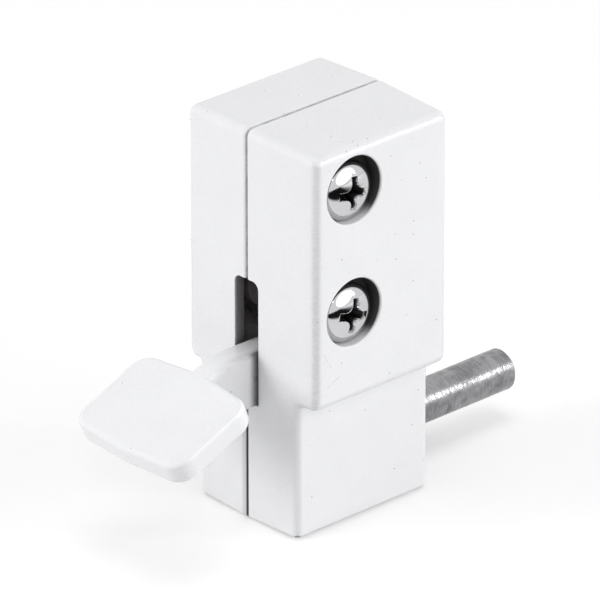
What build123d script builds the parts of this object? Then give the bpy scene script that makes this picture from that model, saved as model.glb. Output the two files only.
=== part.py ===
# Foot lock for a sliding patio door: a die-cast housing in two halves, split down the middle,
# holds a pedal lever that throws a steel bolt out of one side. Two long screws hold the halves
# together and fix them to the door.
# Sizes are in millimetres and angles in degrees. The origin is midway between the two screws, on
# the face that lies against the door. +X is the way the bolt comes out, +Y goes into the door and
# +Z is up. The pedal is down and the bolt is out.
import os
from math import cos, radians, sin, tan

from build123d import *

# Housing
body_width = 26.2  # along the bolt
body_height = 61.4
front_depth = 14.2  # from the split to the face with the screw heads
rear_depth = 12.7  # from the split to the face on the door
foot_height = 21.4  # height of the narrower foot round the bolt
front_step = 3.8  # the foot stands this far behind the front face
rear_step = 2.3  # and this far in front of the rear face
draft = 1.5
wall = 1.8
top_radius = 1.4  # long edges of the top
ledge_radius = 1.6  # lower corner above the foot
ledge_share = 0.72  # the most of the step that this corner takes up
step_radius = 0.5  # inside corner there
step_share = 0.23  # the most of the step that it takes up
edge_radius = 1.2  # edges round the housing's two ends
edge_share = 0.95  # the most of the ledge's corner that they take up
base_radius = 0.7  # edges round the base, wider than those along the split
parting_radius = 0.6  # edges along the split
pocket_radius = 1.0  # corners of the hollow

# Mounting screws
screw_pitch = 19.05
screw_setback = 7.75  # from the pedal side of the housing
screw_drop = 7.6  # upper screw below the top
shank_radius = 2.05  # plain, under the head
thread_radius = 2.4  # over the thread's crests, from the door's face on
thread_runout = 0.4
screw_length = 31.75  # under the head
point_length = 3.5
head_radius = 4.5
head_height = 3.1
rim_height = 1.0  # straight edge of the head, below its dome
cross_span = 5.7  # driver recess at the top of the dome
cross_width = 1.0
cross_corner_radius = 1.2  # between its arms
cross_depth = 2.5
cross_floor = 0.5  # share of the recess's width left at its floor
upper_turn = 4.0
lower_turn = 12.0
recess_radius = 5.15  # well that the head sits in
well_rise = 0.6  # middle of the well above the screw, whose head sits low in it
lip_radius = 0.25  # round the well's mouth
seat_depth = 2.9
seat_thickness = 2.0

# Pedal lever
lift = 35.0  # travel of the pedal
pivot_setback = 13.55
pivot_drop = 6.7  # pivot below the lower screw, which the lifted arm just clears
pivot_radius = 2.0
pivot_hold = 4.0  # length of pin in each half
pin_chamfer = 0.3
hub_radius = 4.5
hub_thickness = 6.0
arm_thickness = 4.4
arm_drop = 0.6  # top of the arm below the pivot
arm_edge_radius = 1.2
bend_setout = 1.5  # the arm starts to bend down this far outside the housing
bend_radius = 20.0
leg_thickness = 3.0
neck_radius = 1.0  # the leg narrows towards this at its toe
toe_radius = 2.4
pad_tilt = 23.0
pad_width = 22.9
pad_thickness = 4.0
pad_inner = 0.85  # from the end of the bend back to the pad's inner edge
pad_outer = 16.0  # and out to its outer edge
pad_inner_sweep = 5.6
pad_outer_sweep = 3.0
pad_corner_radius = 3.2
pad_top_radius = 0.8
pad_under_radius = 1.4

# Slot for the pedal's arm
slot_drop = 9.3  # lower end below the pivot
slot_height = 19.4
slot_corner_radius = 1.2

# Bolt
bolt_radius = 3.175
bolt_height = 7.3  # axis above the base
bolt_reach = 24.5  # out of the housing
bolt_chamfer = 0.6
bolt_tail = 2.4  # metal behind the slot for the toe
cradle_lip = 2.0  # metal over the bolt

# Spring washer that keeps the pedal where it is put
washer_radius = 4.0
washer_thickness = 0.4
washer_height = 0.8

# Clearances
screw_gap = 0.2
pin_fit = 0.02
hub_fit = 0.05
hub_gap = 0.3
washer_gap = 0.05
bolt_fit = 0.08
toe_fit = 0.1
leg_gap = 0.4
slot_gap = 0.3  # each side of the arm
stop_gap = 0.2  # under the arm, at the slot's lower end
boss_gap = 1.0  # each side of the arm, to the lower screw's bosses

# Places in the part's own frame
slope = tan(radians(draft))
pedal_face_x = -screw_setback
bolt_face_x = pedal_face_x + body_width
mid_x = (pedal_face_x + bolt_face_x) / 2
split_y = -rear_depth
upper_screw_z = screw_pitch / 2
lower_screw_z = -screw_pitch / 2
top_z = upper_screw_z + screw_drop
base_z = top_z - body_height
ledge_z = base_z + foot_height
roof_z = top_z - wall
bolt_z = base_z + bolt_height
cradle_z = bolt_z + bolt_radius + bolt_fit + cradle_lip
pivot_x = pedal_face_x + pivot_setback
pivot_z = lower_screw_z - pivot_drop
slot_z = pivot_z - slot_drop
arm_top_z = pivot_z - arm_drop
arm_low_z = slot_z + stop_gap
hub_half = hub_thickness / 2
arm_half = arm_thickness / 2

# The toe swings evenly to both sides of the pivot, and meets the bolt's axis midway
swing = lift / 2
toe_length = pivot_z - bolt_z
toe_throw = toe_length * sin(radians(swing))
toe_x = pivot_x + toe_throw
toe_z = pivot_z - toe_length * cos(radians(swing))
toe_half = toe_radius + toe_fit
print(f"bolt travel {2 * toe_throw:.3f} mm over {lift} degrees")
print(f"pivot at x {pivot_x:.3f}, y {split_y:.3f}, z {pivot_z:.3f}")
print(f"bolt axis at z {bolt_z:.3f}, tip at x {bolt_face_x + bolt_reach:.3f}")

os.makedirs("parts", exist_ok=True)


# One half of the housing. Facing is -1 for the half in front of the split and 1 for the one behind.
def split_plane(facing):
    return Plane(origin=(0, split_y, 0), x_dir=(-facing, 0, 0), z_dir=(0, facing, 0))


def outer_block(facing, depth, step):
    foot = depth - step
    # The two corners of the step share its width, and the edges follow the tighter corner
    ledge_corner = min(ledge_radius, ledge_share * step)
    step_corner = min(step_radius, step_share * step)
    edge = min(edge_radius, edge_share * ledge_corner)
    across = Plane(origin=(mid_x, split_y, 0), x_dir=(0, facing, 0), z_dir=(facing, 0, 0))
    with BuildPart() as block:
        with BuildSketch(across):
            with BuildLine():
                outline = FilletPolyline(
                    (foot, base_z + foot * slope),
                    (foot, ledge_z),
                    (depth, ledge_z + step * slope),
                    (depth, top_z - depth * slope),
                    (0, top_z),
                    radius=[step_corner, ledge_corner, top_radius],
                )
                Polyline(outline @ 1, (0, base_z), outline @ 0)
            make_face()
        extrude(amount=body_width, both=True)
        # The two ends are drafted by a prism that is too tall to touch the top and the base
        with BuildSketch(split_plane(facing)):
            with Locations((-facing * mid_x, (base_z + top_z) / 2)):
                Rectangle(body_width, 2 * body_height)
        extrude(amount=depth, taper=draft, mode=Mode.INTERSECT)
        middle = (mid_x, split_y, (base_z + top_z) / 2)
        seam = block.faces().sort_by_distance(middle)[0]
        base = block.faces().sort_by(Axis.Z)[0]
        ends = block.faces().filter_by(lambda face: abs(face.normal_at().X) > cos(radians(2 * draft)))
        fillet(ends.edges() - seam.edges() - base.edges(), edge)
        seam = block.faces().sort_by_distance(middle)[0]
        base = block.faces().sort_by(Axis.Z)[0]
        fillet(base.edges() - seam.edges(), base_radius)
        seam = block.faces().sort_by_distance(middle)[0]
        fillet(seam.edges(), parting_radius)
    return block.part


# The hollow in a half, with its bosses left standing: each is x, z, radius and where it starts.
def inner_hollow(facing, depth, step, bosses):
    side = split_plane(facing)
    with BuildPart() as hollow:
        for floor_z, reach in ((cradle_z, depth - step - wall), (ledge_z + wall, depth - wall)):
            with BuildSketch(side):
                with Locations((-facing * mid_x, (floor_z + roof_z) / 2)):
                    RectangleRounded(body_width - 2 * wall, roof_z - floor_z, pocket_radius)
            extrude(amount=reach, taper=draft)
        for boss_x, boss_z, boss_radius, start in bosses:
            with BuildSketch(side.offset(start)):
                with Locations((-facing * boss_x, boss_z)):
                    Circle(boss_radius)
            extrude(amount=depth, mode=Mode.SUBTRACT)
    return hollow.part


def casting(facing, depth, step, pivot_start, wells):
    side = split_plane(facing)
    hole_radius = thread_radius + screw_gap
    tube_radius = hole_radius + wall
    bosses = [
        (0, upper_screw_z, tube_radius, 0),
        (0, lower_screw_z, tube_radius, arm_half + boss_gap),
        (pivot_x, pivot_z, pivot_radius + wall, pivot_start),
    ]
    well_places = [(0, z + well_rise) for z in (upper_screw_z, lower_screw_z)]
    if wells:
        well_start = depth - seat_depth - seat_thickness
        bosses += [(x, z, recess_radius + wall, well_start) for x, z in well_places]
    with BuildPart() as half:
        add(outer_block(facing, depth, step))
        add(inner_hollow(facing, depth, step, bosses), mode=Mode.SUBTRACT)
        with BuildSketch(side):
            with Locations((0, upper_screw_z), (0, lower_screw_z)):
                Circle(hole_radius)
        extrude(amount=depth, mode=Mode.SUBTRACT)
        if wells:
            with BuildSketch(side.offset(depth)):
                with Locations(*well_places):
                    Circle(recess_radius)
            extrude(amount=-seat_depth, mode=Mode.SUBTRACT)
            mouths = half.edges().filter_by(GeomType.CIRCLE).group_by(Axis.Y)[0]
            fillet(mouths, lip_radius)
        with BuildSketch(side.offset(pivot_start)):
            with Locations((-facing * pivot_x, pivot_z)):
                Circle(pivot_radius + pin_fit)
        extrude(amount=pivot_hold + pin_fit, mode=Mode.SUBTRACT)
        # Bore for the bolt, and the way down to it for the lever's toe
        with BuildSketch(Plane((pedal_face_x + wall, split_y, bolt_z), x_dir=(0, 1, 0), z_dir=(1, 0, 0))):
            Circle(bolt_radius + bolt_fit)
        extrude(amount=body_width, mode=Mode.SUBTRACT)
        with BuildSketch(Plane.XY.offset(bolt_z)):
            with Locations((pivot_x, split_y)):
                Rectangle(2 * (toe_throw + toe_radius + leg_gap), leg_thickness + 2 * leg_gap)
        extrude(amount=ledge_z - bolt_z, mode=Mode.SUBTRACT)
        # Slot in the pedal side
        with BuildSketch(Plane((pedal_face_x, split_y, slot_z), x_dir=(0, 1, 0), z_dir=(1, 0, 0))) as slot:
            Rectangle(arm_thickness + 2 * slot_gap, slot_height, align=(Align.CENTER, Align.MIN))
            fillet(slot.vertices().group_by(Axis.Y)[-1], slot_corner_radius)
        extrude(amount=2 * wall, both=True, mode=Mode.SUBTRACT)
    return half


front_pivot_start = hub_half + hub_gap
rear_pivot_start = hub_half + washer_height + 2 * washer_gap

front_casting = casting(-1, front_depth, front_step, front_pivot_start, wells=True)
front_casting.part.label = "front_casting"
export_step(front_casting.part, "parts/front_casting.step")

rear_casting = casting(1, rear_depth, rear_step, rear_pivot_start, wells=False)
rear_casting.part.label = "rear_casting"
export_step(rear_casting.part, "parts/rear_casting.step")

# Pedal lever: pad, bent arm, hub and leg are one casting
lever_plane = Plane(origin=(0, split_y, 0), x_dir=(1, 0, 0), z_dir=(0, -1, 0))
tilt_cos = cos(radians(pad_tilt))
tilt_sin = sin(radians(pad_tilt))
pad_x = pedal_face_x - bend_setout - bend_radius * tilt_sin
pad_z = arm_top_z - bend_radius * (1 - tilt_cos)
pad_middle = (pad_x, split_y, pad_z)
pad_normal = (-tilt_sin, 0, tilt_cos)
pad_plane = Plane(origin=pad_middle, x_dir=(-tilt_cos, 0, -tilt_sin), z_dir=pad_normal)
pad_up = Axis(pad_middle, pad_normal)
# The arm's underside runs out level until it meets the underside of the pad
web_reach = (pad_z - pad_thickness * tilt_cos - arm_low_z) / tilt_sin

with BuildPart() as arm:
    with BuildSketch(lever_plane):
        with BuildLine():
            level = Line((pivot_x, arm_top_z), (pedal_face_x - bend_setout, arm_top_z))
            bend = JernArc(level @ 1, (-1, 0), bend_radius, pad_tilt)
            top = PolarLine(bend @ 1, web_reach, direction=bend % 1)
            end = PolarLine(top @ 1, pad_thickness, direction=(bend % 1).rotate(Axis.Z, 90))
            Polyline(end @ 1, (pivot_x, arm_low_z), level @ 0)
        make_face()
    extrude(amount=arm_half, both=True)
    sides = arm.faces().filter_by(Axis.Y).edges().filter_by(Axis.Z, reverse=True)
    fillet(sides.filter_by(lambda edge: edge.center().Z > (arm_top_z + arm_low_z) / 2), arm_edge_radius)

pad_half = pad_width / 2
inner_end = -pad_inner + pad_half * tan(radians(pad_inner_sweep))
outer_end = pad_outer - pad_half * tan(radians(pad_outer_sweep))

with BuildPart() as pedal_lever:
    with BuildSketch(pad_plane) as plan:
        with BuildLine():
            Polyline(
                (-pad_inner, 0),
                (inner_end, pad_half),
                (outer_end, pad_half),
                (pad_outer, 0),
                (outer_end, -pad_half),
                (inner_end, -pad_half),
                close=True,
            )
        make_face()
        rows = plan.vertices().group_by(Axis.Y)
        fillet(rows[0] + rows[-1], pad_corner_radius)
    extrude(amount=-pad_thickness)
    layers = pedal_lever.faces().sort_by(pad_up)
    fillet(layers[-1].edges(), pad_top_radius)
    layers = pedal_lever.faces().sort_by(pad_up)
    fillet(layers[0].edges(), pad_under_radius)
    add(arm.part)
    with BuildSketch(lever_plane):
        with Locations((pivot_x, pivot_z)):
            Circle(hub_radius)
    extrude(amount=hub_half, both=True)
    with BuildSketch(lever_plane):
        with Locations((pivot_x, pivot_z)):
            Circle(hub_radius)
        with Locations((toe_x, toe_z)):
            Circle(neck_radius)
        make_hull()
        with Locations((toe_x, toe_z)):
            Circle(toe_radius)
    extrude(amount=leg_thickness / 2, both=True)
    with BuildSketch(lever_plane):
        with Locations((pivot_x, pivot_z)):
            Circle(pivot_radius + hub_fit)
    extrude(amount=hub_half, both=True, mode=Mode.SUBTRACT)
pedal_lever.part.label = "pedal_lever"
export_step(pedal_lever.part, "parts/pedal_lever.step")

# Pin that the lever turns on, held at both ends in the housing
with BuildPart() as pivot_pin:
    with BuildSketch(Plane((pivot_x, split_y + rear_pivot_start + pivot_hold, pivot_z), z_dir=(0, -1, 0))):
        Circle(pivot_radius)
    extrude(amount=front_pivot_start + rear_pivot_start + 2 * pivot_hold)
    chamfer(pivot_pin.edges().filter_by(GeomType.CIRCLE), pin_chamfer)
pivot_pin.part.label = "pivot_pin"
export_step(pivot_pin.part, "parts/pivot_pin.step")

# Bowed washer between the lever's hub and the rear half
washer_plane = Plane((pivot_x, split_y + hub_half + washer_gap, pivot_z), x_dir=(1, 0, 0), z_dir=(0, 0, 1))
washer_bow = washer_height - washer_thickness
with BuildPart() as spring_washer:
    with BuildSketch(washer_plane):
        with BuildLine():
            near = ThreePointArc((-washer_radius, washer_bow), (0, 0), (washer_radius, washer_bow))
            far = ThreePointArc(
                (-washer_radius, washer_height), (0, washer_thickness), (washer_radius, washer_height)
            )
            Line(near @ 0, far @ 0)
            Line(near @ 1, far @ 1)
        make_face()
    extrude(amount=washer_radius, both=True)
    with BuildSketch(lever_plane):
        with Locations((pivot_x, pivot_z)):
            Circle(washer_radius)
            Circle(pivot_radius + hub_fit, mode=Mode.SUBTRACT)
    extrude(amount=rear_depth, both=True, mode=Mode.INTERSECT)
spring_washer.part.label = "spring_washer"
export_step(spring_washer.part, "parts/spring_washer.step")

# Bolt, with a slot through it for the lever's toe
bolt_tail_x = toe_x - toe_half - bolt_tail
with BuildPart() as locking_bolt:
    with BuildSketch(Plane((bolt_tail_x, split_y, bolt_z), x_dir=(0, 1, 0), z_dir=(1, 0, 0))):
        Circle(bolt_radius)
    extrude(amount=bolt_face_x + bolt_reach - bolt_tail_x)
    chamfer(locking_bolt.edges().filter_by(GeomType.CIRCLE), bolt_chamfer)
    with BuildSketch(Plane.XY.offset(bolt_z)):
        with Locations((toe_x, split_y)):
            Rectangle(2 * toe_half, leg_thickness + 2 * leg_gap)
    extrude(amount=bolt_radius, both=True, mode=Mode.SUBTRACT)
locking_bolt.part.label = "locking_bolt"
export_step(locking_bolt.part, "parts/locking_bolt.step")


# Pan-head screw with a cross recess, turned as it was left by the driver
def mounting_screw(screw_z, turn):
    seat_y = split_y - front_depth + seat_depth
    across = Plane((0, seat_y, screw_z), x_dir=(1, 0, 0), z_dir=(0, 0, 1))
    crown = Plane((0, seat_y - head_height, screw_z), x_dir=(1, 0, 0), z_dir=(0, 1, 0))
    with BuildPart() as screw:
        with BuildSketch(across):
            with BuildLine():
                dome = EllipticalCenterArc(
                    (0, -rim_height), head_radius, head_height - rim_height, start_angle=270, arc_size=90
                )
                Polyline(
                    dome @ 1,
                    (head_radius, 0),
                    (shank_radius, 0),
                    (shank_radius, -seat_y - thread_runout),
                    (thread_radius, -seat_y),
                    (thread_radius, screw_length - point_length),
                    (0, screw_length),
                    dome @ 0,
                )
            make_face()
        revolve(axis=Axis((0, seat_y, screw_z), (0, 1, 0)))
        for plane, share in ((crown, 1), (crown.offset(cross_depth), cross_floor)):
            with BuildSketch(plane) as cross:
                for arm_turn in (turn, turn + 90):
                    Rectangle(cross_span * share, cross_width * share, rotation=arm_turn)
                inside_corners = cross.vertices().sort_by_distance((0, 0))[:4]
                fillet(inside_corners, cross_corner_radius * share)
        loft(mode=Mode.SUBTRACT)
    return screw


upper_screw = mounting_screw(upper_screw_z, upper_turn)
upper_screw.part.label = "upper_screw"
export_step(upper_screw.part, "parts/upper_screw.step")

lower_screw = mounting_screw(lower_screw_z, lower_turn)
lower_screw.part.label = "lower_screw"
export_step(lower_screw.part, "parts/lower_screw.step")
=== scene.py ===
import math

import bmesh
import bpy
from mathutils import Matrix, Vector


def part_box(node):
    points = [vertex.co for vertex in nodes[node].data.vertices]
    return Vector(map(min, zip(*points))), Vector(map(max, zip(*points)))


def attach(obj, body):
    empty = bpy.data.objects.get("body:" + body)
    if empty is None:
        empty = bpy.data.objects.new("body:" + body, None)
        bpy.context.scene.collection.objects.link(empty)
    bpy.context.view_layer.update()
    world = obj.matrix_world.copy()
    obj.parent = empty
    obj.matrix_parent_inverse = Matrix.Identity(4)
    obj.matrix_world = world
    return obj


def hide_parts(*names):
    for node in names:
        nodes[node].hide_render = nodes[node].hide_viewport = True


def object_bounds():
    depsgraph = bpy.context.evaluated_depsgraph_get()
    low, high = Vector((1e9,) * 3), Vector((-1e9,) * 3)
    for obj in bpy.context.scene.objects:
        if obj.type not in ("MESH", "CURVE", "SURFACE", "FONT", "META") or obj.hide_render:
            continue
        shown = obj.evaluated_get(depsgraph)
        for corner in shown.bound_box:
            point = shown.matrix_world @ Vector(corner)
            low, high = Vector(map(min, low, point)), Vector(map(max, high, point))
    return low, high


mm = 0.001
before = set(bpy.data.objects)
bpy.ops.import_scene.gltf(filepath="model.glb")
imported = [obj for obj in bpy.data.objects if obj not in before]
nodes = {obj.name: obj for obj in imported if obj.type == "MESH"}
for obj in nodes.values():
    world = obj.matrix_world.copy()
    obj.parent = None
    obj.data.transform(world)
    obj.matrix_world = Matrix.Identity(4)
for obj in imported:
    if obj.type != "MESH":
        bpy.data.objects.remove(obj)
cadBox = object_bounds()
scene = bpy.context.scene
scene.view_settings.view_transform = "Standard"
print("frame loaded:", ", ".join(sorted(nodes)))


# A socket of a shader, so that sums on a surface read as plain Python
class Wire:
    def __init__(self, tree, socket=None):
        self.tree = tree
        self.socket = socket

    def node(self, kind, settings=None, inputs=None, out=0):
        made = self.tree.nodes.new("ShaderNode" + kind)
        for name, value in (settings or {}).items():
            setattr(made, name, value)
        for name, value in (inputs or {}).items():
            if isinstance(value, Wire):
                self.tree.links.new(value.socket, made.inputs[name])
            else:
                made.inputs[name].default_value = value
        return Wire(self.tree, made.outputs[out])

    def maths(self, operation, first, second=0.0):
        return self.node("Math", {"operation": operation}, {0: first, 1: second})

    def __add__(self, other):
        return self.maths("ADD", self, other)

    def __sub__(self, other):
        return self.maths("SUBTRACT", self, other)

    def __rsub__(self, other):
        return self.maths("SUBTRACT", other, self)

    def __mul__(self, other):
        return self.maths("MULTIPLY", self, other)

    def __abs__(self):
        return self.maths("ABSOLUTE", self)

    def rise(self, low, high):  # 0 at low, 1 at high, smooth between
        ends = {"Value": self, "From Min": low, "From Max": high}
        return self.node("MapRange", {"interpolation_type": "SMOOTHSTEP"}, ends)

    def most(self, other):
        return self.maths("MAXIMUM", self, other)

    def across(self, other):  # length of two sides at right angles
        return self.maths("SQRT", self * self + other * other)

    def mix(self, without, full):  # colours
        return self.node("Mix", {"data_type": "RGBA"}, {0: self, 6: without, 7: full}, out=2)

    def axes(self):
        return [self.node("SeparateXYZ", None, {0: self}, out=i) for i in range(3)]

    def scaled(self, scale):  # by axis
        return self.node("Mapping", None, {"Vector": self, "Scale": scale})

    def noise(self, size, detail=2.0, rough=0.5):
        values = {"Vector": self, "Scale": 1 / size, "Detail": detail, "Roughness": rough}
        return self.node("TexNoise", None, values)


# A material, its shader and the place on the object in mm
def newShader(name):
    material = bpy.data.materials.new(name)
    material.use_nodes = True
    tree = material.node_tree
    place = Wire(tree).node("TexCoord", out="Object")
    place = place.node("VectorMath", {"operation": "SCALE"}, {0: place, "Scale": 1 / mm})
    return material, tree.nodes["Principled BSDF"], place


def feed(shader, values):
    for name, value in values.items():
        if isinstance(value, Wire):
            value.tree.links.new(value.socket, shader.inputs[name])
        else:
            shader.inputs[name].default_value = value


def bumped(height):  # height in mm
    return height.node("Bump", None, {"Strength": 1.0, "Distance": mm, "Height": height})


def dress(part, material):
    nodes[part].data.materials.clear()
    nodes[part].data.materials.append(material)


# Sizes of the housing that its paint goes by, in mm and degrees
housing = {
    "draft": 1.5,
    "foot": 21.4,
    "frontStep": 3.8,
    "rearStep": 2.3,
    "wellRadius": 5.15,
    "wellRise": 0.6,
    "crownProud": 0.2,  # of the front face
    "slotWidth": 5.0,
    "slotHeights": (-25.525, -6.125),
}
frontLow, frontHigh = [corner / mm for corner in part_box("front_casting")]
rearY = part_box("rear_casting")[1].y / mm
splitY = frontHigh.y
ledgeZ = frontLow.z + housing["foot"]
slope = math.tan(math.radians(housing["draft"]))
crownY = frontLow.y - housing["crownProud"]
screwPlaces = {}
for part in ("upper_screw", "lower_screw"):
    low, high = [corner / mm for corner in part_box(part)]
    screwPlaces[part] = ((low.x + high.x) / 2, crownY, high.y, (low.z + high.z) / 2)

# White paint on the castings and the lever, with painted shade on edges, a painted shadow on the arm and
# a painted highlight on the pad, in mm
whitePaint = {
    "colour": (0.862, 0.864, 0.880, 1),
    "shade": (0.800, 0.801, 0.815, 1),
    "cloudSize": 5.0,
    "cloudShare": 0.25,
    "grainSize": 0.35,
    "grainShare": 0.7,
    "roughness": 0.17,
    "cloudRough": 0.08,
    "peelSize": 0.6,
    "peelHeight": 0.004,
    "waveSize": 5.0,
    "waveHeight": 0.05,
    "pitSpacing": 1.15,
    "pitRadius": 0.11,
    "pitDepth": 0.03,
    "pitColour": (0.30, 0.29, 0.29, 1),
    # Painted shade on rounded edges
    "edgeShade": (0.635, 0.635, 0.648, 1),
    "edgeShadeUpright": (0.15, 0.65),  # least, and what the block adds
    "edgeShadeLevel": (0.2, 0.45),  # least, and what edges that face down add
    "edgeShadeUpwards": (14.0, 36.0),  # fades between these heights over the ledge
    "edgeShadeFade": 0.55,
    "speckleScale": (1.2, 1.2, 3.2),  # drawn out across the upright edges
    "speckleShare": 0.55,
    "besideReach": (2.8, 0.4),  # painted shade speckled beside the near edge
    "besideShare": 0.35,
    "lipShadeShare": 0.85,
    # On the lever, by x
    "armShadowSpan": (-9.4, -7.9),  # painted shadow where the arm enters the slot
    "armShadowColour": (0.10, 0.095, 0.095, 1),
    "armShadowShare": 0.9,
    "armShadowRough": 0.1,
    "scuffed": (-16.0, -11.0),
    "scuffScale": (0.6, 2.2, 2.2),  # drawn out along the arm
    "scuffShare": 0.6,
    "greyed": (-13.0, -9.0),
    "greyShare": 0.2,
    "highlightSpan": (-14.0, -16.0),
    "paintedHighlight": (0.950, 0.951, 0.960, 1),  # painted highlight along the pad's near edge
}
# Metal where no spray got in, and painted shade in the slot, the wells and the split
bareCasting = {
    "colour": (0.60, 0.585, 0.585, 1),
    "slotMouthShade": (0.300, 0.298, 0.305, 1),  # painted shade on the slot's edges
    "mouthShadeDepth": (0.7, 2.4),
    "mouthShadeWander": 1.4,
    "slotShade": (0.170, 0.158, 0.160, 1),  # darker painted shade behind them
    "slotShadeDepth": (5.0, 9.0),
    # painted shade on the wells' walls and in the split
    "paintedShade": (0.050, 0.046, 0.047, 1),
    "roughness": 0.25,  # more than the paint's
    "sideFade": (0.3, 1.6),  # inwards from the ends
    "wellFade": (0.10, 0.45),  # inwards from the front
    "wellFloor": (8.0, 6.0),
    "shadeWay": (-0.5, -0.85),  # in x and z; the painted shade lies on the upper right
    "wellShade": (3.4, 0.8),  # along that way
    "ledgeFade": (1.6, 0.6),
    "wallMargin": (0.6, 0.2),  # behind the walls of the slot
    "boreMargin": (0.5, 0.2),
    "slotFade": (0.05, 0.5),
    "slotDepth": (5.0, 4.0),
    "seam": (0.30, 0.16),  # away from the split
    "seamFaint": 0.25,  # above the foot
    "seamFoot": (-2.0, -6.0),  # from the ledge
    "footLip": 0.95,  # width of the painted shade on the edge beside the seam at the foot
    "chip": (-7.1, -22.8, -43.75),  # at the foot's near corner
    "chipFlat": (1.0, 1.0, 2.0),
    "chipReach": (1.1, 0.85),
    "chipWander": 0.8,
    "scratches": [(-5.5, -19.3, -2.4, -17.9), (-6.0, -13.4, -4.3, -16.3)],  # x and z of both ends
    "scratchWidth": (0.12, 0.05),
    "scratchEnd": 0.5,
    "scratchShare": 0.4,
}


# A few pits where dust fell in the wet paint
def paintPits(place):
    spread = {"Vector": place, "Scale": 1 / whitePaint["pitSpacing"], "Randomness": 1.0}
    away = place.node("TexVoronoi", None, spread)
    lot = place.node("SeparateColor", None, {0: place.node("TexVoronoi", None, spread, out=1)})
    size = lot.rise(0.55, 1.0) * (whitePaint["pitRadius"] / whitePaint["pitSpacing"])
    return (size - away).rise(0.0, 0.02)


# Painted shade where a painted surface turns over an edge, most on the block's upright edges and on edges
# that face down
def overEdges(place):
    p = whitePaint
    x, y, z = place.node("TexCoord", out="Normal").axes()
    alongX, alongY, alongZ = place.axes()
    height = alongZ - ledgeZ
    low = height.rise(-0.5, 2.0) * (1 - height.rise(*p["edgeShadeUpwards"]) * p["edgeShadeFade"])
    least, more = p["edgeShadeUpright"]
    upright = abs(x * y).rise(0.0, 0.5) * (low * more + least)
    least, more = p["edgeShadeLevel"]
    level = abs(y * z).most(abs(x * z)).rise(0.04, 0.5) * (z.rise(0.1, -0.3) * more + least)
    speckle = place.scaled(p["speckleScale"]).noise(1.0, 4.0, 0.7).rise(0.34, 0.68)
    speckled = upright.most(level) * (speckle * p["speckleShare"] + (1 - p["speckleShare"]))
    # The speckled painted shade runs on beside the near edge
    beside = (alongX - frontLow.x).rise(*p["besideReach"]) * (alongY - frontLow.y).rise(*p["besideReach"])
    return speckled.most(beside * low * speckle * p["besideShare"])


# Masks for the two wells: the whole bore, and the painted shade on its wall, darkest at the upper right
def screwWells(place):
    c = bareCasting
    x, y, z = place.axes()
    deep = (y - frontLow.y).rise(*c["wellFade"]) * (y - frontLow.y).rise(*c["wellFloor"])
    wayX, wayZ = c["shadeWay"]
    edge = [housing["wellRadius"] + more for more in c["boreMargin"]]
    bore = wellShade = deep * 0.0
    for middleX, crown, tip, middleZ in screwPlaces.values():
        right = x - middleX
        up = z - (middleZ + housing["wellRise"])
        inside = deep * right.across(up).rise(*edge)
        bore = bore.most(inside)
        wellShade = wellShade.most(inside * (up * wayZ + right * wayX).rise(*c["wellShade"]))
    return bore, wellShade


def insideHousing(place):
    c = bareCasting
    x, y, z = place.axes()
    inward = abs(y - splitY) * slope
    fade = c["sideFade"]
    hollow = (x - frontLow.x - inward).rise(*fade) * (frontHigh.x - inward - x).rise(*fade)
    hollow = hollow * (frontHigh.z - inward - z).rise(*fade) * (z - frontLow.z - inward).rise(*fade)
    # Behind the front faces of the block and the foot, and before the rear ones
    atFoot = (z - ledgeZ).rise(*c["ledgeFade"])
    front = (y - frontLow.y - atFoot * housing["frontStep"]).rise(*c["wellFade"])
    rear = (rearY - y - atFoot * housing["rearStep"]).rise(*c["wellFade"])
    # In the slot the paint ends sooner
    low, high = housing["slotHeights"]
    outer, inner = c["wallMargin"]
    half = housing["slotWidth"] / 2
    slot = abs(y - splitY).rise(half + outer, half + inner)
    slot = slot * (z - low).rise(-outer, -inner) * (z - high).rise(outer, inner)
    slot = slot * (x - frontLow.x).rise(*c["slotFade"]) * (x - frontLow.x).rise(*c["slotDepth"])
    return slot.most(hollow * front * rear)


# Painted shade in the split, fainter above the foot, and painted shade on the lip beside it at the foot
def alongSplit(place):
    c = bareCasting
    x, y, z = place.axes()
    low = (z - ledgeZ).rise(*c["seamFoot"])
    patchy = place.noise(1.5, 3.0, 0.6).rise(0.3, 0.7) * c["seamFaint"] + c["seamFaint"]
    line = abs(y - splitY).rise(*c["seam"]) * low.most(patchy)
    lipShade = (y - splitY).rise(c["footLip"] + 0.1, c["footLip"] - 0.1) * (y - splitY).rise(0.0, 0.1)
    return line, lipShade * low


# A chip at the foot and fine scratches on the front face
def knocks(place):
    c = bareCasting
    off = place.node("VectorMath", {"operation": "SUBTRACT"}, {0: place, 1: c["chip"]})
    off = off.node("VectorMath", {"operation": "MULTIPLY"}, {0: off, 1: c["chipFlat"]})
    away = off.node("VectorMath", {"operation": "LENGTH"}, {0: off}, out="Value")
    found = (away + place.noise(0.5, 3.0, 0.7) * c["chipWander"]).rise(*c["chipReach"])
    x, y, z = place.axes()
    patchy = place.noise(0.4, 3.0, 0.7).rise(0.25, 0.75)
    faint = (y - frontLow.y).rise(1.0, 0.6) * patchy * c["scratchShare"]
    for startX, startZ, endX, endZ in c["scratches"]:
        line = Vector((endX - startX, endZ - startZ))
        side = line.normalized()
        along = (x - startX) * side.x + (z - startZ) * side.y
        off = abs((z - startZ) * side.x - (x - startX) * side.y)
        ends = along.rise(0.0, c["scratchEnd"]) * along.rise(line.length, line.length - c["scratchEnd"])
        found = found.most(off.rise(*c["scratchWidth"]) * ends * faint)
    return found


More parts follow.
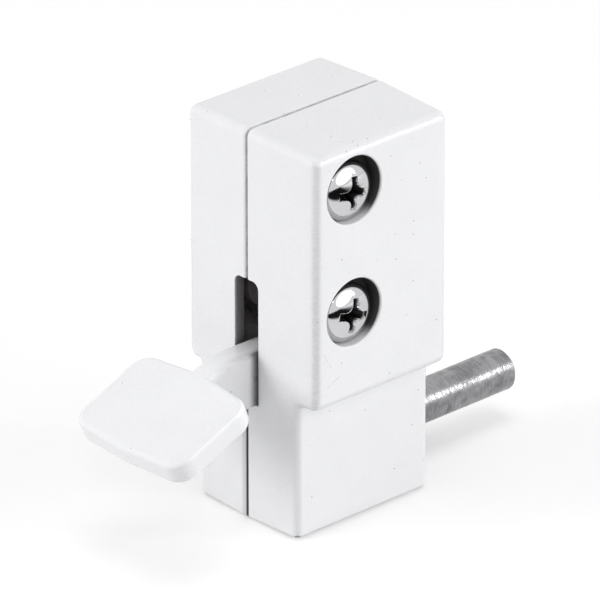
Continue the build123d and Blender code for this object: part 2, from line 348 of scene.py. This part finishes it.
def castColour(place, colour, pits):
    p, c = whitePaint, bareCasting
    seam, lipShade = alongSplit(place)
    # Painted shade on the edges, and on the lip beside the split at the foot
    colour = overEdges(place).most(lipShade * p["lipShadeShare"]).mix(colour, p["edgeShade"])
    colour = pits.most(knocks(place)).mix(colour, p["pitColour"])
    bore, wellShade = screwWells(place)
    hollow = insideHousing(place) * (1 - bore)
    # Painted shade on the wells' walls and in the split
    paintedShade = wellShade.most(seam)
    # Painted shade inside the slot: lighter at its mouth, darkest a few mm in, bare metal deeper
    depth = place.axes()[0] - frontLow.x
    darkening = (depth + place.noise(0.5, 3.0, 0.7) * c["mouthShadeWander"]).rise(*c["mouthShadeDepth"])
    metal = depth.rise(*c["slotShadeDepth"]).mix(darkening.mix(c["slotMouthShade"], c["slotShade"]), c["colour"])
    return paintedShade.mix(hollow.mix(colour, metal), c["paintedShade"]), hollow.most(paintedShade) * c["roughness"]


# Painted shadow on the arm where it enters the slot, scuffs by shoes along the arm's upper edges, and a
# painted highlight along the pad's near edge
def leverColour(place, colour, pits):
    p = whitePaint
    x, y, z = place.node("TexCoord", out="Normal").axes()
    along = place.axes()[0]
    over = z * abs(y)
    armShadow = along.rise(*p["armShadowSpan"]) * abs(y).rise(0.45, 0.8) * p["armShadowShare"]
    marks = place.scaled(p["scuffScale"]).noise(1.0, 5.0, 0.75).rise(0.45, 0.75) * p["scuffShare"]
    marks = marks + along.rise(*p["greyed"]) * p["greyShare"]
    scuff = over.rise(0.10, 0.45) * along.rise(*p["scuffed"]) * marks
    colour = pits.most(scuff).mix(colour, p["pitColour"])
    paintedHighlight = over.rise(0.36, 0.5) * along.rise(*p["highlightSpan"])
    return armShadow.mix(paintedHighlight.mix(colour, p["paintedHighlight"]), p["armShadowColour"]), armShadow * p["armShadowRough"]


def paintOn(name, finish):
    p = whitePaint
    material, shader, place = newShader(name)
    clouds = place.noise(p["cloudSize"], 4.0, 0.55).rise(0.35, 0.75)
    grain = place.noise(p["grainSize"], 3.0, 0.7).rise(0.3, 0.8)
    colour = (clouds * p["cloudShare"] + grain * p["grainShare"]).mix(p["colour"], p["shade"])
    pits = paintPits(place)
    peel = place.noise(p["peelSize"], 2.0) * p["peelHeight"]
    waves = place.noise(p["waveSize"], 1.0) * p["waveHeight"]
    height = peel + waves - pits * p["pitDepth"]
    colour, rougher = finish(place, colour, pits)
    rough = clouds * p["cloudRough"] + p["roughness"] + rougher
    feed(shader, {"Base Color": colour, "Roughness": rough, "Normal": bumped(height)})
    return material


castPaint = paintOn("castPaint", castColour)
dress("front_casting", castPaint)
dress("rear_casting", castPaint)
dress("pedal_lever", paintOn("leverPaint", leverColour))
print("paint on the castings and the lever")

# Drawn steel rod of the bolt, with the marks of the lathe round it and painted shade by the housing, in
# mm
boltSteel = {
    "colour": (0.39, 0.39, 0.40, 1),
    "stainAndShade": (0.11, 0.11, 0.115, 1),
    "stainSize": 1.3,
    "stainShare": 0.3,
    "blotchSize": 3.2,
    "blotchShare": 0.3,
    "ringSize": 0.16,
    "ringLength": 4.0,
    "ringHeight": 0.012,
    "ringShare": 0.4,
    "shadedReach": 7.0,  # painted shade, darker where it leaves the housing
    "shadedShare": 0.3,
    "roughness": 0.18,
    "ringRough": 0.2,
    "stainRough": 0.05,
}


def steelOn(name):
    b = boltSteel
    material, shader, place = newShader(name)
    fine, long = 1 / b["ringSize"], 1 / b["ringLength"]
    rings = place.scaled((fine, long, long)).noise(1.0, 4.0, 0.65)
    streaks = rings.rise(0.36, 0.68)
    stains = place.noise(b["stainSize"], 5.0, 0.65).rise(0.38, 0.7)
    blotches = place.noise(b["blotchSize"], 4.0, 0.6).rise(0.38, 0.66)
    # Painted shade where the bolt leaves the housing, added to the stains
    shaded = (place.axes()[0] - frontHigh.x).rise(b["shadedReach"], 0.0) * b["shadedShare"]
    darkening = streaks * b["ringShare"] + stains * b["stainShare"] + blotches * b["blotchShare"] + shaded
    colour = darkening.mix(b["colour"], b["stainAndShade"])
    rough = streaks * b["ringRough"] + stains * b["stainRough"] + b["roughness"]
    normal = bumped(rings * b["ringHeight"])
    feed(shader, {"Base Color": colour, "Metallic": 1.0, "Roughness": rough, "Normal": normal})
    return material


bareSteel = steelOn("bareSteel")
for part in ("locking_bolt", "pivot_pin", "spring_washer"):
    dress(part, bareSteel)
print("steel on the bolt, the pin and the washer")

# Plated pan-head screws, in mm and degrees
panScrew = {
    "headRadius": 4.5,
    "headHeight": 3.1,
    "rim": 1.0,
    "shank": 2.05,
    "domeRings": 28,
    "sides": 96,
    "crest": 2.4,
    "root": 1.75,
    "pitch": 1.58,
    "point": 3.5,
    "pointEnd": 0.02,  # share of the thread's radius left at the tip
    "threadStart": -0.4,
    "threadSides": 40,
    "crossSpan": 5.7,
    "crossWidth": 1.2,
    "crossCorner": 1.2,
    "crossDepth": 2.5,
    "crossFloor": 0.5,
    "crossOver": 0.4,  # its cutter starts above the dome
    "softEdge": 0.07,
    "softAngle": 35,
    "softRadius": 3.6,  # the recess's rim lies within these two
    "softDepth": 0.9,
    "smoothAngle": 32,
    "turns": {"upper_screw": 4.0, "lower_screw": 12.0},
    "colour": (0.60, 0.60, 0.615, 1),
    "paintedShade": (0.030, 0.028, 0.028, 1),  # painted shade in the recess
    "recessShadeDepths": (0.6, 1.0, 2.8, 3.0),
    "recessShadeRadius": (3.0, 2.9),
    "recessShadeRough": 0.4,
    "roughness": 0.06,
    "filmSize": 1.2,
    "filmRough": 0.05,
    "dentSize": 2.0,
    "dentHeight": 0.008,
}


def meshObject(name, bm):
    mesh = bpy.data.meshes.new(name)
    bm.to_mesh(mesh)
    bm.free()
    made = bpy.data.objects.new(name, mesh)
    scene.collection.objects.link(made)
    return made


def drawOutline(bm, points):  # radius and y of each
    made = [bm.verts.new((r, y, 0)) for r, y in points]
    return made + [bm.edges.new(pair) for pair in zip(made, made[1:])]


# Head and shank, turned round the y axis
def turnedHead(crown):
    s = panScrew
    seat = crown + s["headHeight"]
    dome = s["headHeight"] - s["rim"]
    arc = [math.radians(90 * i / s["domeRings"]) for i in range(s["domeRings"] + 1)]
    outline = [(s["headRadius"] * math.sin(t), crown + dome * (1 - math.cos(t))) for t in arc]
    outline += [(s["headRadius"], seat), (s["shank"], seat), (s["shank"], 0.0), (0.0, 0.0)]
    bm = bmesh.new()
    bmesh.ops.spin(
        bm, geom=drawOutline(bm, outline), cent=(0, 0, 0), axis=(0, 1, 0), dvec=(0, 0, 0),
        angle=math.tau, steps=s["sides"], use_merge=True,
    )
    bmesh.ops.remove_doubles(bm, verts=bm.verts, dist=0.001)
    bmesh.ops.recalc_face_normals(bm, faces=bm.faces)
    return bm


def crossCutter(turn, crown):
    s = panScrew
    bm = bmesh.new()
    bmesh.ops.create_grid(bm, x_segments=1, y_segments=1, size=s["crossWidth"] / 2)
    reach = (s["crossSpan"] - s["crossWidth"]) / 2
    corners = list(bm.verts)
    for edge in list(bm.edges):
        outward = (edge.verts[0].co + edge.verts[1].co).normalized() * reach
        arm = bmesh.ops.extrude_edge_only(bm, edges=[edge])["geom"]
        tips = [v for v in arm if isinstance(v, bmesh.types.BMVert)]
        bmesh.ops.translate(bm, verts=tips, vec=outward)
    bmesh.ops.dissolve_faces(bm, faces=list(bm.faces))
    bmesh.ops.bevel(
        bm, geom=corners, offset=s["crossCorner"], segments=6, profile=0.5,
        affect="VERTICES", material=-1,
    )
    over = s["crossOver"]
    grow = 1 + over * (1 - s["crossFloor"]) / s["crossDepth"]
    bmesh.ops.scale(bm, verts=bm.verts, vec=(grow, grow, 1))
    low = bmesh.ops.extrude_face_region(bm, geom=list(bm.faces))["geom"]
    floor = [v for v in low if isinstance(v, bmesh.types.BMVert)]
    share = s["crossFloor"] / grow
    bmesh.ops.scale(bm, verts=floor, vec=(share, share, 1))
    bmesh.ops.translate(bm, verts=floor, vec=(0, 0, -s["crossDepth"] - over))
    # Local z becomes -y, out of the head
    stand = Matrix.Rotation(math.radians(turn), 4, "Y") @ Matrix.Rotation(math.radians(90), 4, "X")
    bmesh.ops.transform(bm, verts=bm.verts, matrix=Matrix.Translation((0, crown - over, 0)) @ stand)
    bmesh.ops.recalc_face_normals(bm, faces=bm.faces)
    return bm


def cutAway(body, cutter):
    cut = body.modifiers.new("cut", "BOOLEAN")
    cut.operation = "DIFFERENCE"
    cut.object = cutter
    cut.solver = "EXACT"
    shaped = bpy.data.meshes.new_from_object(body.evaluated_get(bpy.context.evaluated_depsgraph_get()))
    body.modifiers.clear()
    bpy.data.objects.remove(cutter)
    return shaped


# One pitch of the thread's outline, wound up to the tip and narrowed to a point there
def woundThread(start, end):
    s = panScrew
    root, crest, pitch, sides = s["root"], s["crest"], s["pitch"], s["threadSides"]
    outline = [(root, 0.0), (root, 0.28), (crest, 0.58), (crest, 0.70), (root, 1.0)]
    turns = math.ceil((end - start) / pitch) - 1
    bm = bmesh.new()
    bmesh.ops.spin(
        bm, geom=drawOutline(bm, [(r, start + share * pitch) for r, share in outline]),
        cent=(0, 0, 0), axis=(0, 1, 0), dvec=(0, pitch / sides, 0),
        angle=math.tau * turns, steps=sides * turns,
    )
    bmesh.ops.remove_doubles(bm, verts=bm.verts, dist=0.001)
    for v in bm.verts:
        narrow = min(1.0, max(s["pointEnd"], (end - v.co.y) / s["point"]))
        v.co.x *= narrow
        v.co.z *= narrow
        v.co.y = min(v.co.y, end)
    bmesh.ops.holes_fill(bm, edges=[e for e in bm.edges if e.is_boundary])
    bmesh.ops.recalc_face_normals(bm, faces=bm.faces)
    mesh = bpy.data.meshes.new("thread")
    bm.to_mesh(mesh)
    bm.free()
    return mesh


def platingOn(name, middleX, crown, middleZ):
    s = panScrew
    material, shader, place = newShader(name)
    x, y, z = place.axes()
    away = (x - middleX).across(z - middleZ)
    clean, dark, stillDark, end = [crown + depth for depth in s["recessShadeDepths"]]
    # Painted shade in the cross recess
    deep = y.rise(clean, dark) * y.rise(end, stillDark) * away.rise(*s["recessShadeRadius"])
    colour = deep.mix(s["colour"], s["paintedShade"])
    film = place.noise(s["filmSize"], 3.0).rise(0.3, 0.8)
    rough = film * s["filmRough"] + s["roughness"] + deep * s["recessShadeRough"]
    normal = bumped(place.noise(s["dentSize"], 1.0) * s["dentHeight"])
    feed(shader, {"Base Color": colour, "Metallic": 1.0, "Roughness": rough, "Normal": normal})
    return material


def buildScrew(part):
    s = panScrew
    middleX, crown, tip, middleZ = screwPlaces[part]
    head = meshObject(part + "Detailed", turnedHead(crown))
    shaped = cutAway(head, meshObject("cross", crossCutter(s["turns"][part], crown)))
    bm = bmesh.new()
    bm.from_mesh(shaped)
    bmesh.ops.remove_doubles(bm, verts=bm.verts, dist=0.002)
    rim = [
        e for e in bm.edges
        if len(e.link_faces) == 2 and e.calc_face_angle() > math.radians(s["softAngle"])
        and all(math.hypot(v.co.x, v.co.z) < s["softRadius"] for v in e.verts)
        and all(v.co.y < crown + s["softDepth"] for v in e.verts)
    ]
    bmesh.ops.bevel(
        bm, geom=rim, offset=s["softEdge"], segments=2, profile=0.5,
        affect="EDGES", clamp_overlap=True, material=-1,
    )
    bm.from_mesh(woundThread(s["threadStart"], tip))
    bmesh.ops.translate(bm, verts=bm.verts, vec=(middleX, 0, middleZ))
    bmesh.ops.scale(bm, verts=bm.verts, vec=(mm, mm, mm))
    for face in bm.faces:
        face.smooth = True
    for edge in bm.edges:
        edge.smooth = edge.calc_face_angle(0) < math.radians(s["smoothAngle"])
    bm.to_mesh(head.data)
    bm.free()
    head.data.materials.append(platingOn(part + "Plating", middleX, crown, middleZ))
    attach(head, "housing")
    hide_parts(part)


for part in panScrew["turns"]:
    buildScrew(part)
print("screws turned, cut and threaded")

# Floor, lamps and background. A lamp's level is what it adds to a white face that it meets square on
studio = {
    "ambient": 0.40,
    "floorSize": 4.0,
    "floorColour": (0.73, 0.73, 0.73, 1),
    "floorRough": 0.9,
    "floorGlow": 0.34,
    "cardColour": (0.01, 0.01, 0.01, 1),
    "cardEdge": (-110.0, -150.0),  # y, mm
    "cardSide": (200.0, 60.0),  # x, mm
    "distance": 1.2,
    # Azimuth, elevation, size, level and whether metal mirrors it
    "lamps": {
        "frontLamp": (13, 26, (1.2, 1.05), 0.265, True),
        "cameraLamp": (-44, 38, (0.2, 0.2), 0.05, True),
        "stripLamp": (42, 22, (0.08, 0.5), 0.09, True),
        "rightLamp": (45, 6, (0.8, 0.18), 0.265, False),
        "leftLamp": (-121, 16, (0.7, 0.7), 0.53, False),
        "topLamp": (0, 88, (0.7, 0.7), 0.24, False),
    },
}


def aroundObject(azimuth, elevation):
    a, e = math.radians(azimuth), math.radians(elevation)
    return Vector((math.sin(a) * math.cos(e), -math.cos(a) * math.cos(e), math.sin(e)))


# White to the camera, and in metal and glass
def backdropSeen(start):
    rays = ("Is Camera Ray", "Is Glossy Ray", "Is Transmission Ray")
    seen = [start.node("LightPath", out=name) for name in rays]
    return seen[0].most(seen[1]).most(seen[2])


def layFloor():
    bm = bmesh.new()
    bmesh.ops.create_grid(bm, x_segments=1, y_segments=1, size=studio["floorSize"])
    bmesh.ops.translate(bm, verts=bm.verts, vec=(0, 0, cadBox[0].z))
    floor = meshObject("floor", bm)
    material, shader, place = newShader("floorWhite")
    # Metal shows a dark card that lies in front
    x, y, z = place.axes()
    mirrored = place.node("LightPath", out="Is Glossy Ray")
    card = y.rise(*studio["cardEdge"]) * x.rise(*studio["cardSide"]) * mirrored
    glow = backdropSeen(place) * (1 - card) * studio["floorGlow"]
    feed(shader, {
        "Base Color": card.mix(studio["floorColour"], studio["cardColour"]),
        "Roughness": studio["floorRough"],
        "Specular IOR Level": 0.0,
        "Emission Color": glow.mix((0, 0, 0, 1), (1, 1, 1, 1)),
        "Emission Strength": 1.0,
    })
    floor.data.materials.append(material)


def lightRoom():
    world = bpy.data.worlds.new("room")
    scene.world = world
    world.use_nodes = True
    tree = world.node_tree
    seen = backdropSeen(Wire(tree))
    background = tree.nodes["Background"]
    feed(background, {"Color": (1, 1, 1, 1), "Strength": seen + (1 - seen) * studio["ambient"]})
    middle = (cadBox[0] + cadBox[1]) / 2
    for name, (azimuth, elevation, size, level, mirrored) in studio["lamps"].items():
        lamp = bpy.data.lights.new(name, "AREA")
        lamp.shape = "ELLIPSE"
        lamp.size, lamp.size_y = size
        lamp.energy = level * (math.pi * studio["distance"]) ** 2
        towards = aroundObject(azimuth, elevation)
        placed = bpy.data.objects.new(name, lamp)
        placed.location = middle + towards * studio["distance"]
        placed.rotation_euler = towards.to_track_quat("Z", "Y").to_euler()
        placed.visible_glossy = mirrored
        scene.collection.objects.link(placed)


layFloor()
lightRoom()
print("floor and lamps")

photoView = {
    "lens": 540.0,
    "aim": (7.065, -7.837, -16.015),  # mm
    "distance": 1291.4,  # mm
    "azimuth": -42.469,
    "elevation": 25.683,
    "roll": -0.035,
    "clipEnd": 20.0,  # m
}


def placeCamera():
    v = photoView
    lens = bpy.data.cameras.new("photoCamera")
    lens.lens = v["lens"]
    lens.clip_end = v["clipEnd"]
    camera = bpy.data.objects.new("photoCamera", lens)
    scene.collection.objects.link(camera)
    back = aroundObject(v["azimuth"], v["elevation"])
    turn = Matrix.Rotation(math.radians(v["azimuth"]), 4, "Z")
    tip = Matrix.Rotation(math.radians(90 - v["elevation"]), 4, "X")
    roll = Matrix.Rotation(math.radians(v["roll"]), 4, "Z")
    stand = Matrix.Translation((Vector(v["aim"]) + back * v["distance"]) * mm)
    camera.matrix_world = stand @ turn @ tip @ roll
    scene.camera = camera


placeCamera()
print("camera placed")
